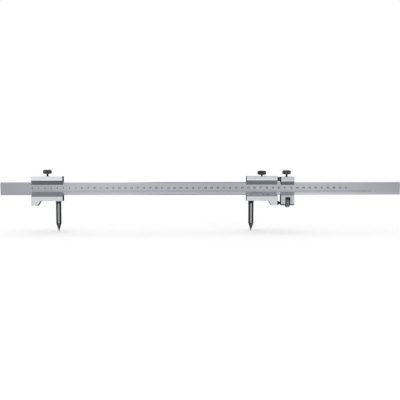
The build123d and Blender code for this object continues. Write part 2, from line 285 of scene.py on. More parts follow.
def put_copy(pattern, name, place, body, material, node):
    """Puts a copy of a pattern in place, as a finished piece that stands for a node."""
    piece = pattern.copy()
    piece.data = pattern.data.copy()
    piece.name = name
    bpy.context.scene.collection.objects.link(piece)
    apply_place(piece, Matrix.Translation(place))
    finish_piece(piece, body, material, [node])


def shade(obj, degrees=25):
    """Smooth shading, with edges sharper than an angle kept."""
    bpy.ops.object.mode_set(mode="OBJECT")
    select_only([obj])
    bpy.ops.object.shade_smooth_by_angle(angle=radians(degrees))


# ---- Discs and rods about Z ----

PLAIN_SHOULDER = 0.3  # share of a rim's rounding that stays without knurl
GROOVE = (0.3, 0.8)  # part of a thread's pitch that its groove takes
ROD_COLUMNS = 32


def radius_of(vertex):
    """Distance from the Z axis."""
    return hypot(vertex.co.x, vertex.co.y)


def reach_of(vertices):
    """The greatest distance from the Z axis."""
    return max(radius_of(v) for v in vertices)


def rise_of(edge):
    """How far an edge rises along Z."""
    return abs(edge.verts[0].co.z - edge.verts[1].co.z)


def is_cap(face, side):
    """Whether a face is flat across Z, on the upper (+1) or lower (-1) side."""
    return face.normal.z * side > 0.99


def inmost_cap(obj, side):
    """The index of the inmost cap on one side, and its reach."""
    caps = [f for f in bmesh.from_edit_mesh(obj.data).faces if is_cap(f, side)]
    cap = min(caps, key=lambda f: reach_of(f.verts))
    return cap.index, reach_of(cap.verts)


def new_cylinder(name, radius, length, columns):
    """A cylinder primitive about Z, with vertex columns at whole steps, left in edit mode."""
    deselect()
    bpy.ops.mesh.primitive_cylinder_add(vertices=columns, radius=radius, depth=length)
    obj = bpy.context.object
    obj.name = name
    bpy.ops.object.mode_set(mode="EDIT")
    return obj


def sink_cap(obj, side, radius, depth):
    """Insets the inmost cap on one side to a radius and raises it; a negative depth sinks it."""
    index, reach = inmost_cap(obj, side)
    choose(obj, "FACE", lambda f: f.index == index)
    bpy.ops.mesh.inset(thickness=reach - radius, depth=0.0, use_even_offset=False)
    if depth:
        extrude_along_z(side * depth)


def bore_through(obj):
    """Opens a hole between the inmost caps of both sides."""
    inmost = [inmost_cap(obj, side)[0] for side in SIDES]
    choose(obj, "FACE", lambda f: f.index in inmost)
    bpy.ops.mesh.bridge_edge_loops()


def cut_rings(obj, rings):
    """Divides a cylinder's side into rings, in two goes where they are too many for one."""
    for parts in ([rings] if rings <= MOST_CUTS else [4, rings // 4]):
        choose(obj, "EDGE", lambda e: rise_of(e) > SNUG)
        bpy.ops.mesh.subdivide(number_cuts=parts - 1)


def knurl(obj, columns, outer, edge, depth):
    """Presses a diamond knurl into a round side, as far as an edge above and below its middle.

    Every second vertex, shifted from ring to ring, is pushed in. The faces are then split along
    the grooves, so that low pyramids stand between them.
    """
    mesh = bmesh.from_edit_mesh(obj.data)
    side = [v for v in mesh.verts if radius_of(v) > outer and abs(v.co.z) < edge]
    levels = sorted({round(v.co.z / SNUG) for v in side})
    ring = {level: i for i, level in enumerate(levels)}
    pressed = set()
    for vertex in side:
        column = round(atan2(vertex.co.x, vertex.co.y) / tau * columns)
        if (column + ring[round(vertex.co.z / SNUG)]) % 2:
            pressed.add(vertex.index)
    share = 1 - depth / reach_of(side)
    choose(obj, "VERT", lambda v: v.index in pressed)
    shrink(share)
    choose(obj, "FACE", lambda f: len(f.verts) == 4 and any(v.index in pressed for v in f.verts))
    bpy.ops.mesh.quads_convert_to_tris(quad_method="SHORTEST_DIAGONAL")


def new_wheel(name, radius, thickness, rounding, knurling):
    """A diamond knurled disc with rounded rims, left in edit mode.

    Its belt is cut into rows as high as a column is wide, and its caps are drawn out in steps of
    that length.
    """
    columns = knurling.knob_columns
    pitch = tau * radius / columns
    belt = thickness - 2 * rounding
    wheel = new_cylinder(name, radius, belt, columns)
    cut_rings(wheel, round(belt / pitch))
    count = round(rounding * pi / 2 / pitch)
    turns = [pi / 2 * n / count for n in range(count + 1)]
    core = radius - rounding
    for side in SIDES:
        for start, stop in zip(turns, turns[1:]):
            choose(wheel, "FACE", lambda f: is_cap(f, side))
            extrude_along_z(side * rounding * (sin(stop) - sin(start)))
            shrink((core + rounding * cos(stop)) / (core + rounding * cos(start)))
    edge = thickness / 2 - PLAIN_SHOULDER * rounding
    knurl(wheel, columns, core, edge, knurling.knob_depth)
    return wheel


def threaded_rod(name, radius, length, pitch, depth):
    """A round rod with a helical groove pressed into quarter-pitch rings, left in edit mode."""
    rod = new_cylinder(name, radius, length, ROD_COLUMNS)
    cut_rings(rod, round(4 * length / pitch))

    def in_groove(vertex):
        angle = atan2(vertex.co.y, vertex.co.x) / tau
        phase = (vertex.co.z / pitch - angle) % 1.0
        return GROOVE[0] < phase < GROOVE[1] and radius_of(vertex) > radius - SNUG

    choose(rod, "VERT", in_groove)
    shrink(1 - depth / radius)
    return rod


# ---- Marks in the XY plane ----

FONT_SIZE = 1.4  # of a figure's height


def row_of_lines(name, marks, width):
    """Graduation lines as thin bars in one mesh; a mark is (x, low, high)."""
    deselect()
    row = None
    for x, low, high in marks:
        bpy.ops.mesh.primitive_cube_add(
            size=1, location=(x, (low + high) / 2, 0), scale=(width, high - low, 2 * SNUG)
        )
        if not row:
            row = bpy.context.object
            row.name = name
            apply_place(row)
            bpy.ops.object.mode_set(mode="EDIT")
    bpy.ops.object.mode_set(mode="OBJECT")
    return row


def figure(text, x, y, height, boldness):
    """A number as a mesh of its own; boldness widens its strokes."""
    deselect()
    bpy.ops.object.text_add(location=(x, y, 0))
    curve = bpy.context.object.data
    curve.body = text
    curve.size = height * FONT_SIZE
    curve.align_x = "CENTER"
    curve.align_y = "CENTER"
    curve.resolution_u = 3
    curve.extrude = SNUG
    curve.offset = boldness
    bpy.ops.object.convert(target="MESH")
    apply_place(bpy.context.object)
    bpy.ops.object.mode_set(mode="EDIT")
    bpy.ops.mesh.select_all(action="SELECT")
    bpy.ops.mesh.remove_doubles(threshold=WELD)
    bpy.ops.mesh.normals_make_consistent(inside=False)
    bpy.ops.object.mode_set(mode="OBJECT")
    return bpy.context.object


def engrave(piece, plane, body, material):
    """Lays marks on a face, as a finished piece filled black."""
    apply_place(piece, plane)
    finish_piece(piece, body, material)


# ---- Settings ----


def swatch(name, description, hex_colour):
    """A colour setting with its default."""
    return FloatVectorProperty(
        name=name, description=description, subtype="COLOR", size=4, min=0, max=1,
        default=linear(hex_colour),
    )


def measure(name, description, millimetres):
    """A length setting with its default."""
    return FloatProperty(
        name=name, description=description, unit="LENGTH", precision=5, default=millimetres * MM
    )


def factor(name, description, default):
    """A strength or tone setting with its default."""
    return FloatProperty(name=name, description=description, default=default)


def wear_of(part, default):
    """A wear setting, from black (0) to rubbed grey (1), with its default."""
    return FloatProperty(
        name=part, description=f"Wear of the {part.lower()}", subtype="FACTOR", min=0, max=1,
        default=default,
    )


def turn(name, description, default):
    """An angle setting with its default in radians."""
    return FloatProperty(name=name, description=description, subtype="ANGLE", default=default)


def count_of(name, description, default):
    """A whole number setting with its default."""
    return IntProperty(name=name, description=description, default=default)


class StageSettings(PropertyGroup):
    """The studio: floor, surround, lamp and camera."""

    paper: swatch("Paper", "Colour of the floor", "#fbfbfb")
    surround: factor("Surround", "Strength of the pale surround's light", 0.76)
    lamp: factor("Soft light", "Strength of the soft light overhead", 0.95)
    lamp_spread: turn("Soft light spread", "Width of the light in the sky", radians(75))
    lamp_place: FloatVectorProperty(
        name="Soft light place", description="Where the light comes from", subtype="TRANSLATION",
        size=3, default=(-150 * MM, 250 * MM, 1000 * MM),
    )
    camera_place: FloatVectorProperty(
        name="Camera", description="Camera position", subtype="TRANSLATION", size=3,
        default=(-29.5 * MM, -1200.0 * MM, 144.6 * MM),
    )
    camera_yaw: turn("Yaw", "Turn of the camera to the right", 0.0227)
    camera_pitch: turn("Pitch", "Tilt of the camera below level", 0.0785)
    view_angle: turn("View angle", "Field of view across the square frame", radians(30.33))


class FinishSettings(PropertyGroup):
    """Colours of the metals and of the filler in the marks."""

    beam_face: swatch("Beam", "Satin chrome of the beam", "#b4b6bc")
    beam_strip: swatch("Beam edge strip", "Chrome below the graduations", "#bcbcc0")
    # Painted highlight along the beam's top edge
    beam_crown: swatch("Beam crown", "Chrome rubbed bright along the top edge", "#d6d7da")
    # Painted shade on the beam's long edges along its middle
    held_edge: swatch("Held edges", "Chrome left dull along the beam's middle", "#74777c")
    left_face: swatch("Left head", "Satin chrome of the left head", "#dbdde2")
    # Painted shade on the left head's bevels over and below the window
    left_upper: swatch("Left upper bevel", "Ground steel over the window", "#6a6d72")
    left_lower: swatch("Left lower bevel", "Ground steel below the window", "#767a7f")
    left_fall: factor("Left fall", "Tone at the left head's foot", 0.90)
    right_face: swatch("Right head", "Satin chrome of the right head", "#cdd0d4")
    # Painted shade on the right head's bevels over and below the window
    right_upper: swatch("Right upper bevel", "Ground steel over the window", "#777b80")
    right_lower: swatch("Right lower bevel", "Ground steel below the window", "#878a8f")
    right_fall: factor("Right fall", "Tone at the right head's foot", 1.01)
    carriage_face: swatch("Carriage", "Satin chrome of the carriage", "#c0c2c7")
    # Painted shade on the carriage's bevels over and below the window
    carriage_upper: swatch("Carriage upper bevel", "Ground steel over the window", "#6d7075")
    carriage_lower: swatch("Carriage lower bevel", "Ground steel below the window", "#818489")
    carriage_fall: factor("Carriage fall", "Tone at the carriage's foot", 0.92)
    # Painted highlight on broken edges
    bright_edge: swatch("Bright edges", "Chrome rubbed bright on broken edges", "#d9dbdd")
    # Painted shade on broken edges
    grey_edge: swatch("Grey edges", "Chrome left grey on broken edges", "#84878c")
    # Painted shade on the chamfer under the carriage's front
    carriage_foot: swatch("Carriage foot", "Chamfer under the carriage's front", "#2c2e32")
    # Painted shade on the end faces
    end_face: swatch("End faces", "Milled steel of the ends", "#5e6165")
    # Painted reflection on the top faces
    top_face: swatch("Top faces", "Polished chrome of the top faces", "#b4b6ba")
    # Painted shade inside the feed nut's slot
    slot: swatch("Slot", "Oiled steel inside the feed nut's slot", "#1a1a1c")
    # Painted reflections on the scribers: the light bands and the dark bands between them
    scriber_light: swatch("Scriber", "Polished tool steel", "#9a9b9d")
    scriber_dark: swatch("Scriber bands", "Darker bands along the tool steel", "#161719")
    point: swatch("Scriber point", "Ground point of the tool steel", "#5c5d60")
    oxide: swatch("Black oxide", "Blackened steel", "#2c2c2d")
    oxide_worn: swatch("Worn oxide", "Blackened steel rubbed by fingers", "#6c6c6c")
    screw: swatch("Screws", "Blackened and oiled steel of the screws", "#101011")
    nut: swatch("Feed nut", "Thin oxide of the feed nut", "#444446")
    nut_worn: swatch("Worn feed nut", "Oxide of the nut where fingers turn it", "#8c8c8e")
    bronze: swatch("Gibs", "Rolled phosphor bronze", "#b98a5a")
    brass: swatch("Clamp shoes", "Turned brass", "#c9a45c")
    filler: swatch("Filler", "Black filler in the graduations", "#26262a")


class WearSettings(PropertyGroup):
    """How far fingers have rubbed the black oxide grey."""

    left_knob: wear_of("Left clamp knob", 0.63)
    right_knob: wear_of("Right clamp knob", 0.34)
    carriage_knob: wear_of("Carriage's clamp knob", 0.7)
    left_collar: wear_of("Left collar", 0.38)
    right_collar: wear_of("Right collar", 0.15)
    nut: wear_of("Feed nut", 0.95)
    tongue: wear_of("Guide tongue", 0.45)
    screws: wear_of("Gib screws and locknut", 0.04)
    threads: wear_of("Feed screw and clamp studs", 0.06)


class ScaleSettings(PropertyGroup):
    """Graduations on the beam, the vernier and the index."""

    zero: measure("Zero", "Scale zero from the beam's left end", 51.5)
    centimetres: count_of("Length", "Length of the scale in centimetres", 55)
    last_number: count_of("Last number", "Last centimetre that is numbered", 51)
    line: measure("Line", "Width of a graduation line", 0.14)
    foot: measure("Foot", "Foot of the lines, below the beam's middle", 6.0)
    unit_line: measure("Millimetre line", "Length of a millimetre line", 2.8)
    half_line: measure("Half line", "Length of a five millimetre line", 3.6)
    full_line: measure("Centimetre line", "Length of a centimetre line", 4.4)
    figure: measure("Figures", "Height of the numbers on the beam", 3.2)
    boldness: measure("Boldness", "How far the figures' strokes are widened", 0.05)
    figure_middle: measure("Figure level", "Middle of the numbers, above the beam's middle", 0.9)
    vernier_span: measure("Vernier", "Length of the vernier", 19.0)
    vernier_parts: count_of("Vernier parts", "Divisions of the vernier", 20)
    vernier_line: measure("Vernier line", "Length of a short vernier line", 2.0)
    vernier_half: measure("Vernier half line", "Length of every fifth vernier line", 2.5)
    vernier_full: measure("Vernier full line", "Length of every tenth vernier line", 3.0)
    vernier_figure: measure("Vernier figures", "Height of the numbers on the bevels", 2.0)


class KnurlSettings(PropertyGroup):
    """Knurls and threads."""

    knob_columns: count_of("Knob columns", "Vertex columns of a knob's knurl", 96)
    knob_depth: measure("Knob knurl", "Depth of a knob's knurl", 0.22)
    collar_columns: count_of("Collar columns", "Vertex columns of a collar's knurl", 72)
    collar_depth: measure("Collar knurl", "Depth of a collar's knurl", 0.16)
    clamp_pitch: measure("Clamp pitch", "Pitch of the clamp screws", 0.7)
    clamp_thread: measure("Clamp thread", "Depth of the clamp screws' thread", 0.28)
    feed_pitch: measure("Feed pitch", "Pitch of the feed screw", 0.5)
    feed_thread: measure("Feed thread", "Depth of the feed screw's thread", 0.168)


# ---- Materials ----

# The way a face looks, as the span of its normal's component over which a tone fades in.
# The bevels and ends get painted shade, the broken edges painted highlights and painted shade,
# and the top faces a painted reflection.
FORWARD = (-0.45, -0.6)
STRAIGHT_FORWARD = (-0.9, -0.95)
UPPER_BEVEL, LOWER_BEVEL = (-0.3, -0.4), (0.3, 0.4)
UPPER_EDGE, LOWER_EDGE = (0.6, 0.68), (-0.6, -0.68)
HEAD_END, BEAM_END = (0.55, 0.75), (0.5, 0.7)
UPWARD = (0.8, 0.95)

WHITE = (1, 1, 1, 1)
END_SHADE_TINT = (0.05, 0.05, 0.05, 1)  # edge tint that keeps the painted shade of the end faces dark at a glance
DARK_BAND_TINT = (0.08, 0.08, 0.08, 1)  # edge tint that keeps the scribers' painted dark reflection bands dark at a glance
OXIDE = (0.4, 0.4, 0.4, 1)  # edge tint of an oxide skin
HAIR = 0.1 * MM  # the slot's clearance, over which its painted shade fades in
STRIP_HIGHLIGHT_GAIN = 0.13  # how much a painted highlight brightens the front face's strip just above the upper bevel

# Painted light along the beam: (from 0 at its left end to 1 at its right end, tone)
BEAM_LIGHT_TONES = (
    (0.0, 0.77), (0.13, 0.87), (0.18, 1.05), (0.28, 1.09), (0.42, 0.96), (0.56, 0.88),
    (0.66, 0.94), (0.77, 1.04), (0.88, 0.92), (1.0, 0.77),
)
# Where painted shade dulls the beam's long edges, along X, and the painted light on its edge
# strip and crown, from a tone at one X to a tone at another
EDGE_SHADE_SPANS = ((-130 * MM, -50 * MM), (145 * MM, 60 * MM))
EDGE_LIGHT_RAMP = (-200 * MM, 150 * MM, 0.91, 1.05)


def satin_chrome(name, node, edges, finish, recess=None):
    """Satin chrome plate on a ground steel body: bright, finely brushed faces along X.

    The bevels and ends get painted shade, darker than the plate, and the top faces a painted
    reflection. A painted highlight brightens the front face's strip just above the upper bevel,
    and the tone falls or rises towards the foot. Broken edges are given as (upper, lower) colours:
    painted highlights where they are light, painted shade where they are dark. A recess is an X
    span and a top level, behind the front face, where painted shade stays dark.
    """
    face, upper, lower, fall = [
        getattr(finish, f"{name}_{part}") for part in ("face", "upper", "lower", "fall")
    ]
    material, tree, shader, place = new_material(f"satin chrome on {node}", 1.0, 0.34)
    (along, across, level), (sideways, depthwise, upward) = place_and_facing(tree, place)
    end = mask(tree, (distance(tree, sideways), *HEAD_END))
    crest = lip(node, -1)[0].z
    # A painted highlight on the front face's strip just above the upper bevel
    strip_highlight = mask(
        tree, (depthwise, *STRAIGHT_FORWARD), (level, crest, crest + 0.5 * MM),
        (level, crest + 2.4 * MM, crest + 1.9 * MM),
    )
    tone = add_node(tree, "ShaderNodeMapRange", {
        "Value": level, "From Min": BEAM_LOW.z, "From Max": BEAM_HIGH.z, "To Min": fall,
    })
    tone = add_node(tree, "ShaderNodeMath", {
        0: strip_highlight, 1: STRIP_HIGHLIGHT_GAIN, 2: tone.outputs["Result"],
    }, operation="MULTIPLY_ADD")
    # Grinding lines are 0.05 mm apart; they are drawn ten times as coarse to show at all.
    brushing = grain(tree, place, (25 * MM, 0.5 * MM, 0.5 * MM))
    patches = grain(tree, place, (18 * MM, 9 * MM, 9 * MM), seed=4.0)
    colour = toned(tree, face, spread(tree, brushing, 0.97, 1.02))
    colour = toned(tree, colour, spread(tree, patches, 0.97, 1.02))
    colour = toned(tree, colour, tone.outputs[0])
    # Painted shade on the bevels, and the painted highlights and painted shade of the broken edges
    for slope, metal in zip(
        (UPPER_BEVEL, LOWER_BEVEL, UPPER_EDGE, LOWER_EDGE), (upper, lower, *edges)
    ):
        slanted = mask(tree, (depthwise, *FORWARD), (upward, *slope))
        colour = coat(tree, colour, (slanted, metal))
    # Painted shade on the end faces and a painted reflection on the top faces
    top = mask(tree, (upward, *UPWARD))
    colour = coat(tree, colour, (end, finish.end_face), (top, finish.top_face))
    # Painted shade inside the feed nut's slot, behind the front face
    if recess:
        start, stop, roof = recess
        front = size(node).y / 2
        inside = mask(
            tree, (along, start - HAIR, start), (along, stop + HAIR, stop),
            (level, roof + HAIR, roof),
            (distance(tree, across), front - HAIR, front - 4 * HAIR),
        )
        colour = coat(tree, colour, (inside, finish.slot))
    # The end faces' tint keeps their painted shade dark at a glance
    tree.links.new(coat(tree, WHITE, (end, END_SHADE_TINT)), shader.inputs["Specular Tint"])
    link_surface(tree, shader, colour, brushing, 0.002 * MM, spread(tree, brushing, 0.28, 0.4))
    return material


def beam_chrome(finish, scale):
    """Satin chrome on a long ground bar, with a brighter plain strip below the graduations.

    Painted light drifts along the bar, darker towards both ends. Painted shade dulls both long
    edges along the bar's middle, and a painted highlight runs along the top edge.
    """
    material, tree, shader, place = new_material("satin chrome on the beam", 1.0, 0.36)
    (along, _, level), (sideways, _, upward) = place_and_facing(tree, place)
    foot = BEAM_MIDDLE.z - scale.foot
    strip = mask(tree, (level, foot, foot - 0.6 * MM))
    # Painted highlight along the top edge
    crown = mask(tree, (level, BEAM_HIGH.z - 1.2 * MM, BEAM_HIGH.z - 0.5 * MM))
    margin = add_node(tree, "ShaderNodeMath", {0: strip, 1: crown}, operation="MAXIMUM")
    # Painted light on the edge strip and crown, darker at the left and lighter at the right
    edge_light = add_node(tree, "ShaderNodeMapRange", {
        "Value": along, "From Min": EDGE_LIGHT_RAMP[0], "From Max": EDGE_LIGHT_RAMP[1],
        "To Min": EDGE_LIGHT_RAMP[2], "To Max": EDGE_LIGHT_RAMP[3],
    })
    edge = coat(tree, finish.beam_strip, (crown, finish.beam_crown))
    edge = toned(tree, edge, edge_light.outputs["Result"])
    # Painted light along the bar, darker towards both ends
    share = add_node(tree, "ShaderNodeMapRange", {
        "Value": along, "From Min": BEAM_LOW.x, "From Max": BEAM_HIGH.x,
    })
    tone = add_node(tree, "ShaderNodeValToRGB", {"Fac": share.outputs["Result"]})
    elements = tone.color_ramp.elements
    while len(elements) < len(BEAM_LIGHT_TONES):
        elements.new(0.5)
    for element, (stop, value) in zip(elements, BEAM_LIGHT_TONES):
        element.position = stop
        element.color = (value, value, value, 1.0)
    # Grinding lines run along the bar, 0.05 mm apart; they are drawn ten times as coarse.
    brushing = grain(tree, place, (40 * MM, 0.5 * MM, 0.5 * MM))
    colour = coat(tree, finish.beam_face, (margin.outputs[0], edge))
    colour = toned(tree, colour, tone.outputs["Color"])
    colour = toned(tree, colour, spread(tree, brushing, 0.97, 1.02))
    # Painted shade on both long edges along the bar's middle
    shade_spans = [(along, *span) for span in EDGE_SHADE_SPANS]
    for brink in (
        (level, BEAM_HIGH.z - 1.1 * MM, BEAM_HIGH.z - 0.7 * MM),
        (level, BEAM_LOW.z + 1.3 * MM, BEAM_LOW.z + 0.9 * MM),
    ):
        colour = coat(tree, colour, (mask(tree, *shade_spans, brink), finish.held_edge))
    # Painted shade on the end faces and a painted reflection on the top faces
    end = mask(tree, (distance(tree, sideways), *BEAM_END))
    top = mask(tree, (upward, *UPWARD))
    colour = coat(tree, colour, (end, finish.end_face), (top, finish.top_face))
    link_surface(tree, shader, colour, brushing, 0.002 * MM, spread(tree, brushing, 0.3, 0.42))
    return material


def polished_steel(name, finish, reflection_shift):
    """Hardened tool steel, ground and polished round, under painted reflections: light bands on
    four sides, dark bands between, a darker point.

    The light bands facing front and back are set off to one side by the reflection shift.
    """
    material, tree, shader, place = new_material(name, 1.0, 0.2)
    shader.inputs["Specular Tint"].default_value = DARK_BAND_TINT
    (_, _, level), (sideways, _, _) = place_and_facing(tree, place)
    # Painted reflection: light facing front, back, left and right, dark between
    reflection_band = mask(
        tree, (distance(tree, sideways, reflection_shift), 0.32, 0.4), (distance(tree, sideways), 0.97, 0.9)
    )
    point = mask(tree, (level, 13.2 * MM, 12.8 * MM))
    rings = grain(tree, place, (6 * MM, 6 * MM, 0.35 * MM), seed=2.0)
    colour = coat(
        tree, finish.scriber_light, (point, finish.point), (reflection_band, finish.scriber_dark)
    )
    colour = toned(tree, colour, spread(tree, rings, 0.95, 1.03))
    link_surface(tree, shader, colour, rings, 0.001 * MM, spread(tree, rings, 0.14, 0.26))
    return material


def black_oxide(name, dark, rubbed, wear, crown=None):
    """Steel blackened by a hot oxide bath: dull, near black, rubbed greyer where fingers reach it.

    A crown is the X of a wheel's middle, where its rim is rubbed most; the lighter rim there is
    partly this wear and partly a painted highlight.
    """
    material, tree, shader, place = new_material(name, 0.85, 0.42)
    shader.inputs["Specular Tint"].default_value = OXIDE
    patches = grain(tree, place, (3 * MM, 3 * MM, 3 * MM), seed=1.0)
    speckle = grain(tree, place, (0.3 * MM, 0.3 * MM, 0.3 * MM), seed=7.0)
    rub = spread(tree, patches, 0.55 * wear, wear)
    if crown is not None:
        # Lighter towards the crown: wear, and partly a painted highlight on the rim
        (along, _, _), _ = place_and_facing(tree, place)
        rim = add_node(tree, "ShaderNodeMapRange", {
            "Value": distance(tree, along, crown), "From Min": 1.2 * MM, "From Max": 2.4 * MM,
            "To Min": 1.0, "To Max": 0.45,
        })
        rub = add_node(tree, "ShaderNodeMath", {
            0: rub, 1: rim.outputs["Result"],
        }, operation="MULTIPLY").outputs[0]
    colour = coat(tree, dark, (rub, rubbed))
    colour = toned(tree, colour, spread(tree, speckle, 0.92, 1.08))
    link_surface(tree, shader, colour, speckle, 0.003 * MM, spread(tree, patches, 0.36, 0.48))
    return material


def bare_metal(name, colour, roughness):
    """Rolled or turned metal that is left bare, such as bronze strip or brass rod."""
    material, tree, shader, place = new_material(name, 1.0, roughness)
    drawn = grain(tree, place, (8 * MM, 0.4 * MM, 0.4 * MM), seed=3.0)
    colour = toned(tree, colour, spread(tree, drawn, 0.92, 1.05))
    uneven = spread(tree, drawn, roughness - 0.06, roughness + 0.06)
    link_surface(tree, shader, colour, drawn, 0.002 * MM, uneven)
    return material


def black_filler(finish):
    """Matt black paint wiped into engraved lines and figures."""
    material, tree, shader, place = new_material("black filler", 0.0, 0.7)
    wear = grain(tree, place, (2 * MM, 2 * MM, 2 * MM), seed=5.0)
    colour = toned(tree, finish.filler, spread(tree, wear, 0.8, 1.3))
    tree.links.new(colour, shader.inputs["Base Color"])
    tree.links.new(spread(tree, wear, 0.6, 0.8), shader.inputs["Roughness"])
    return material


# ---- Operators ----

FLOOR_WIDTH = 12  # metres, so that its edge stays out of every view


def looks(context):
    """The finishes, their wear and the knurls."""
    scene = context.scene
    return scene.beam_compass_finish, scene.beam_compass_wear, scene.beam_compass_knurl


class BEAMCOMPASS_OT_stage(Operator):
    """Lays the pale floor, hangs the soft light and sets up the camera"""

    bl_idname = "beam_compass.stage"
    bl_label = "Stage"

    def execute(self, context):
        settings = context.scene.beam_compass_stage
        self.lay_floor(settings)
        self.light(context.scene, settings)
        self.place_camera(context.scene, settings)
        return {"FINISHED"}

    def seen(self, tree):
        """1 for a ray of the eye, a reflection or a transmission, else 0."""
        rays = add_node(tree, "ShaderNodeLightPath").outputs
        seen = rays["Is Camera Ray"]
        for kind in ("Is Glossy Ray", "Is Transmission Ray"):
            seen = add_node(
                tree, "ShaderNodeMath", {0: seen, 1: rays[kind]}, operation="MAXIMUM"
            ).outputs[0]
        return seen

    def lay_floor(self, settings):
        """Matt paper at the level of the points."""
        deselect()
        bpy.ops.mesh.primitive_plane_add(size=FLOOR_WIDTH)
        floor = bpy.context.object
        floor.name = "studio_floor"
        material, _, shader, _ = new_material("matt white paper", 0.0, 1.0)
        shader.inputs["Base Color"].default_value = settings.paper
        shader.inputs["Specular IOR Level"].default_value = 0.0
        floor.data.materials.append(material)

    def light(self, scene, settings):
        """A pale surround, white to the eye and in reflections, and a broad soft light overhead."""
        world = bpy.data.worlds.new("pale surround")
        scene.world = world
        world.use_nodes = True
        tree = world.node_tree
        strength = add_node(tree, "ShaderNodeMapRange", {
            "Value": self.seen(tree), "To Min": settings.surround,
        })
        background = tree.nodes["Background"]
        background.inputs["Color"].default_value = WHITE
        tree.links.new(strength.outputs["Result"], background.inputs["Strength"])
        lamp = bpy.data.lights.new("overhead_light", "SUN")
        lamp.energy = settings.lamp
        lamp.angle = settings.lamp_spread
        light = bpy.data.objects.new("overhead_light", lamp)
        scene.collection.objects.link(light)
        light.location = settings.lamp_place
        light.rotation_euler = light.location.to_track_quat("Z", "Y").to_euler()
        scene.view_settings.view_transform = "Standard"

    def place_camera(self, scene, settings):
        """A long lens in front of the tool, a little above it."""
        data = bpy.data.cameras.new("camera")
        data.sensor_fit = "HORIZONTAL"
        data.angle = settings.view_angle
        camera = bpy.data.objects.new("camera", data)
        scene.collection.objects.link(camera)
        camera.location = settings.camera_place
        camera.rotation_euler = (pi / 2 - settings.camera_pitch, 0, -settings.camera_yaw)
        scene.camera = camera


class BEAMCOMPASS_OT_finishes(Operator):
    """Gives the machined pieces their finishes"""

    bl_idname = "beam_compass.finishes"
    bl_label = "Finishes"

    def execute(self, context):
        finish, wear, _ = looks(context)
        dress(["beam"], beam_chrome(finish, context.scene.beam_compass_scale))
        # Painted highlights and painted shade on each body's broken edges, as (upper, lower)
        bright, grey = finish.bright_edge, finish.grey_edge
        for name, node, edges, recess in (
            ("left", "left_head_body", (bright, bright), None),
            ("right", "right_head_body", (grey, bright), None),
            ("carriage", "carriage_body", (grey, finish.carriage_foot), self.slot()),
        ):
            dress([node], satin_chrome(name, node, edges, finish, recess))
        # Each shift sets a scriber's painted light reflection off to one side
        dress(["left_scriber"], polished_steel("polished tool steel, left", finish, 0.10))
        dress(
            ["right_scriber", "tongue_pin"],
            polished_steel("polished tool steel, right", finish, -0.03),
        )
        dress(
            [f"{name}_gib" for name in CLAMPED],
            bare_metal("rolled phosphor bronze", finish.bronze, 0.35),
        )
        dress(
            [f"{name}_clamp_shoe" for name in CLAMPED],
            bare_metal("turned brass", finish.brass, 0.3),
        )
        dress(["guide_tongue"], black_oxide(
            "black oxide on the tongue", finish.oxide, finish.oxide_worn, wear.tongue
        ))
        dress(
            ["left_gib_screws", "right_gib_screws", "carriage_gib_screw", "feed_locknut"],
            black_oxide(
                "black oxide on machined screws", finish.screw, finish.oxide_worn, wear.screws
            ),
        )
        return {"FINISHED"}

    def slot(self):
        """Where the feed nut's slot gets painted shade: its X span and its roof."""
        low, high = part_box("feed_nut")
        return low.x - HAIR, high.x + HAIR, high.z + 2.5 * MM


class BEAMCOMPASS_OT_clamp_knobs(Operator):
    """Models the knurled clamp knobs"""

    bl_idname = "beam_compass.clamp_knobs"
    bl_label = "Clamp knobs"

    rounding: measure("Rounding", "Radius of the rim", 2.3)
    dish: measure("Dish", "Radius of the dish and of the recess", 4.2)
    dish_depth: measure("Dish depth", "Depth of the dish on top", 0.5)
    recess_depth: measure("Recess depth", "Depth of the recess underneath", 1.2)
    seat: measure("Seat", "Radius of the neck's seat in the recess", 1.8983)

    def execute(self, context):
        finish, wear, knurling = looks(context)
        pattern = self.model(knurling)
        for name in CLAMPED:
            material = black_oxide(
                f"black oxide on the {name} knob", finish.oxide, finish.oxide_worn,
                getattr(wear, f"{name}_knob"),
            )
            node = f"{name}_clamp_knob"
            put_copy(
                pattern, f"{name}_knurled_knob", middle(node), f"{name}_knob",
                material, node,
            )
        bpy.data.objects.remove(pattern)
        return {"FINISHED"}

    def model(self, knurling):
        """A disc with a round, diamond knurled rim, dished on top and recessed round its neck."""
        extent = size("left_clamp_knob")
        knob = new_wheel("knob_pattern", extent.x / 2, extent.z, self.rounding, knurling)
        for side, depth in zip(SIDES, (self.dish_depth, self.recess_depth)):
            sink_cap(knob, side, self.dish, 0.0)
            sink_cap(knob, side, self.dish - depth, -depth)
        sink_cap(knob, -1, self.seat, 0.0)
        shade(knob)
        return knob


class BEAMCOMPASS_OT_feed_nut(Operator):
    """Models the knurled feed nut"""

    bl_idname = "beam_compass.feed_nut"
    bl_label = "Feed nut"

    rim: measure("Rim", "Width of the knurled rim", 8.1)
    rounding: measure("Rounding", "Radius of the rim", 3.0)
    hub: measure("Hub", "Radius of the hub's end", 3.7)
    bore: measure("Bore", "Radius of the threaded bore", 2.05)

    def execute(self, context):
        finish, wear, knurling = looks(context)
        extent = size("feed_nut")
        nut = new_wheel("knurled_feed_nut", extent.z / 2, self.rim, self.rounding, knurling)
        for side in SIDES:
            sink_cap(nut, side, self.hub, (extent.x - self.rim) / 2)
            sink_cap(nut, side, self.bore, 0.0)
        bore_through(nut)
        shade(nut)
        place = middle("feed_nut")
        apply_place(nut, Matrix.Translation(place) @ Matrix.Rotation(pi / 2, 4, "Y"))
        material = black_oxide(
            "worn black oxide on the feed nut", finish.nut, finish.nut_worn, wear.nut, place.x
        )
        finish_piece(nut, "feed_nut", material, ["feed_nut"])
        return {"FINISHED"}


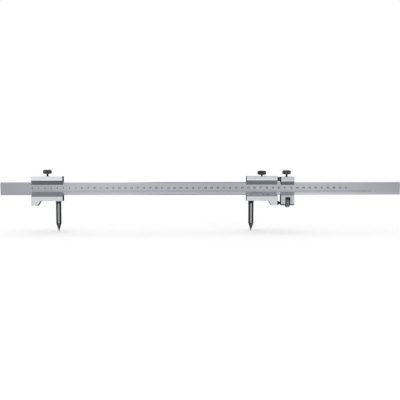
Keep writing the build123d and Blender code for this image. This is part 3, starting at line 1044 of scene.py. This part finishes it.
class BEAMCOMPASS_OT_collars(Operator):
    """Models the knurled lock collars of the scribers"""

    bl_idname = "beam_compass.collars"
    bl_label = "Scriber collars"

    chamfer: measure("Chamfer", "Chamfer of the rims", 0.3)
    bore: measure("Bore", "Radius of the threaded bore", 2.55)
    rings: count_of("Rings", "Rows of the knurl", 8)

    def execute(self, context):
        finish, wear, knurling = looks(context)
        pattern = self.model(knurling)
        for name, dark in (("left", finish.oxide), ("right", finish.screw)):
            material = black_oxide(
                f"black oxide on the {name} collar", dark, finish.oxide_worn,
                getattr(wear, f"{name}_collar"),
            )
            node = f"{name}_scriber_collar"
            put_copy(
                pattern, f"{name}_knurled_collar", middle(node), f"{name}_head",
                material, node,
            )
        bpy.data.objects.remove(pattern)
        return {"FINISHED"}

    def model(self, knurling):
        """A chamfered, diamond knurled ring."""
        extent = size("left_scriber_collar")
        radius, height = extent.x / 2, extent.z
        collar = new_cylinder("collar_pattern", radius, height, knurling.collar_columns)
        choose(collar, "EDGE", lambda e: rise_of(e) < SNUG)
        bpy.ops.mesh.bevel(offset=self.chamfer, segments=1, affect="EDGES")
        choose(collar, "EDGE", lambda e: rise_of(e) > 2 * self.chamfer)
        bpy.ops.mesh.subdivide(number_cuts=self.rings - 1)
        edge = height / 2 - self.chamfer - SNUG
        knurl(collar, knurling.collar_columns, radius - SNUG, edge, knurling.collar_depth)
        for side in SIDES:
            sink_cap(collar, side, self.bore, 0.0)
        bore_through(collar)
        shade(collar)
        return collar


class BEAMCOMPASS_OT_screws(Operator):
    """Models the threads of the feed screw and the clamp studs"""

    bl_idname = "beam_compass.screws"
    bl_label = "Screws"

    neck: measure("Neck", "Radius of a clamp stud's neck", 1.65)
    neck_length: measure("Neck length", "Length of a clamp stud's neck", 7.8)

    def execute(self, context):
        finish, wear, knurling = looks(context)
        material = black_oxide(
            "black oxide on threads", finish.screw, finish.oxide_worn, wear.threads
        )
        self.feed_screw(knurling, material)
        self.studs(knurling, material)
        return {"FINISHED"}

    def feed_screw(self, knurling, material):
        """A rod that is threaded all along."""
        extent = size("feed_screw")
        screw = threaded_rod(
            "threaded_feed_screw", extent.z / 2, extent.x,
            knurling.feed_pitch, knurling.feed_thread,
        )
        shade(screw)
        place = Matrix.Translation(middle("feed_screw"))
        apply_place(screw, place @ Matrix.Rotation(pi / 2, 4, "Y"))
        finish_piece(screw, "right_head", material, ["feed_screw"])

    def studs(self, knurling, material):
        """A threaded stud with a plain neck for each clamp."""
        extent = size("left_clamp_stud")
        length = extent.z - self.neck_length
        pattern = threaded_rod(
            "stud_pattern", extent.x / 2, length, knurling.clamp_pitch, knurling.clamp_thread
        )
        sink_cap(pattern, 1, self.neck, self.neck_length)
        shade(pattern)
        for name in CLAMPED:
            node = f"{name}_clamp_stud"
            place = middle(node)
            place.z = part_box(node)[0].z + length / 2
            put_copy(
                pattern, f"{name}_threaded_stud", place, f"{name}_stud",
                material, node,
            )
        bpy.data.objects.remove(pattern)


class BEAMCOMPASS_OT_scale(Operator):
    """Draws the centimetre scale on the beam"""

    bl_idname = "beam_compass.scale"
    bl_label = "Beam scale"

    def execute(self, context):
        scale = context.scene.beam_compass_scale
        material = black_filler(context.scene.beam_compass_finish)
        face = Matrix.Translation((BEAM_LOW.x + scale.zero, BEAM_LOW.y, BEAM_MIDDLE.z))
        face = face @ Matrix.Rotation(pi / 2, 4, "X")
        engrave(self.graduations(scale), face, "beam", material)
        numbers = join([
            figure(str(n), n * 10 * MM, scale.figure_middle, scale.figure, scale.boldness)
            for n in range(scale.last_number + 1)
        ], "beam_numbers")
        engrave(numbers, face, "beam", material)
        return {"FINISHED"}

    def graduations(self, scale):
        """One centimetre of lines, repeated along the scale, and the last line."""
        foot = -scale.foot
        tops = {0: scale.full_line, 5: scale.half_line}
        decade = [(n * MM, foot, foot + tops.get(n, scale.unit_line)) for n in range(10)]
        marks = row_of_lines("beam_graduations", decade, scale.line)
        repeat = marks.modifiers.new("repeat", "ARRAY")
        repeat.count = scale.centimetres
        repeat.use_relative_offset = False
        repeat.use_constant_offset = True
        repeat.constant_offset_displace = (10 * MM, 0, 0)
        select_only([marks])
        bpy.ops.object.modifier_apply(modifier=repeat.name)
        end = scale.centimetres * 10 * MM
        last = row_of_lines("last_line", [(end, foot, foot + scale.full_line)], scale.line)
        return join([marks, last], "beam_graduations")


class BEAMCOMPASS_OT_vernier(Operator):
    """Draws the vernier on the right head and the index on the left head"""

    bl_idname = "beam_compass.vernier"
    bl_label = "Vernier and index"

    margin: measure("Margin", "Gap between lines and figures", 0.6)
    window_gap: measure("Window gap", "Gap between the lines and the window", 0.15)
    label_gap: measure("Label gap", "Room before the vernier's reading", 8.0)

    def execute(self, context):
        scale = context.scene.beam_compass_scale
        material = black_filler(context.scene.beam_compass_finish)
        part = scale.vernier_span / scale.vernier_parts
        lengths = {0: scale.vernier_full, 5: scale.vernier_half}
        rows = row_of_lines("vernier_lines", [
            (n * part, -lengths.get(n % 10, scale.vernier_line), -self.window_gap)
            for n in range(scale.vernier_parts + 1)
        ], scale.line)
        plane = self.lip_plane("right_head_body", middle("right_scriber").x)
        engrave(rows, plane, "right_head", material)
        numbers = join([
            self.number(text, x, scale)
            for text, x in (
                ("0", 0), ("5", 10 * part), ("10", 20 * part),
                ("0.05", scale.vernier_span + self.label_gap),
            )
        ], "vernier_numbers")
        engrave(numbers, plane, "right_head", material)
        line = (0, -scale.vernier_full, -self.window_gap)
        index = row_of_lines("index_line", [line], scale.line)
        index = join([index, self.number("0", 0, scale)], "left_index")
        plane = self.lip_plane("left_head_body", middle("left_scriber").x)
        engrave(index, plane, "left_head", material)
        return {"FINISHED"}

    def number(self, text, x, scale):
        """A figure under the lines."""
        level = -scale.vernier_full - self.margin - scale.vernier_figure / 2
        return figure(text, x, level, scale.vernier_figure, scale.boldness)

    def lip_plane(self, node, x):
        """Places the XY plane on a head's lower lip.

        Its origin is the window's edge at station x, and its Y runs up the slope.
        """
        front, window = lip(node, 1)
        up = (window - front).normalized()
        right = Vector((1, 0, 0))
        turned = Matrix((right, up, right.cross(up))).transposed().to_4x4()
        return Matrix.Translation((x, window.y, window.z)) @ turned


class BEAMCOMPASS_PT_panel(Panel):
    """Beam compass"""

    bl_idname = "BEAMCOMPASS_PT_panel"
    bl_label = "Beam Compass"
    bl_space_type = "VIEW_3D"
    bl_region_type = "UI"
    bl_category = "Beam Compass"

    def draw(self, context):
        for operator in STEPS:
            self.layout.operator(operator.bl_idname)
        for name in SETTINGS:
            group = getattr(context.scene, name)
            box = self.layout.box()
            for setting in group.bl_rna.properties:
                if setting.identifier not in {"rna_type", "name"}:
                    box.prop(group, setting.identifier)


STEPS = (
    BEAMCOMPASS_OT_stage, BEAMCOMPASS_OT_finishes, BEAMCOMPASS_OT_clamp_knobs,
    BEAMCOMPASS_OT_feed_nut, BEAMCOMPASS_OT_collars, BEAMCOMPASS_OT_screws,
    BEAMCOMPASS_OT_scale, BEAMCOMPASS_OT_vernier,
)
SETTINGS = {
    "beam_compass_stage": StageSettings, "beam_compass_finish": FinishSettings,
    "beam_compass_wear": WearSettings, "beam_compass_scale": ScaleSettings,
    "beam_compass_knurl": KnurlSettings,
}
CLASSES = (*SETTINGS.values(), *STEPS, BEAMCOMPASS_PT_panel)


def register():
    for cls in CLASSES:
        bpy.utils.register_class(cls)
    for name, cls in SETTINGS.items():
        setattr(bpy.types.Scene, name, PointerProperty(type=cls))


def unregister():
    for name in SETTINGS:
        delattr(bpy.types.Scene, name)
    for cls in reversed(CLASSES):
        bpy.utils.unregister_class(cls)


def main():
    """Dresses the tool step by step."""
    register()
    for step in STEPS:
        getattr(bpy.ops.beam_compass, step.bl_idname.split(".")[1])()


if __name__ == "__main__":
    main()
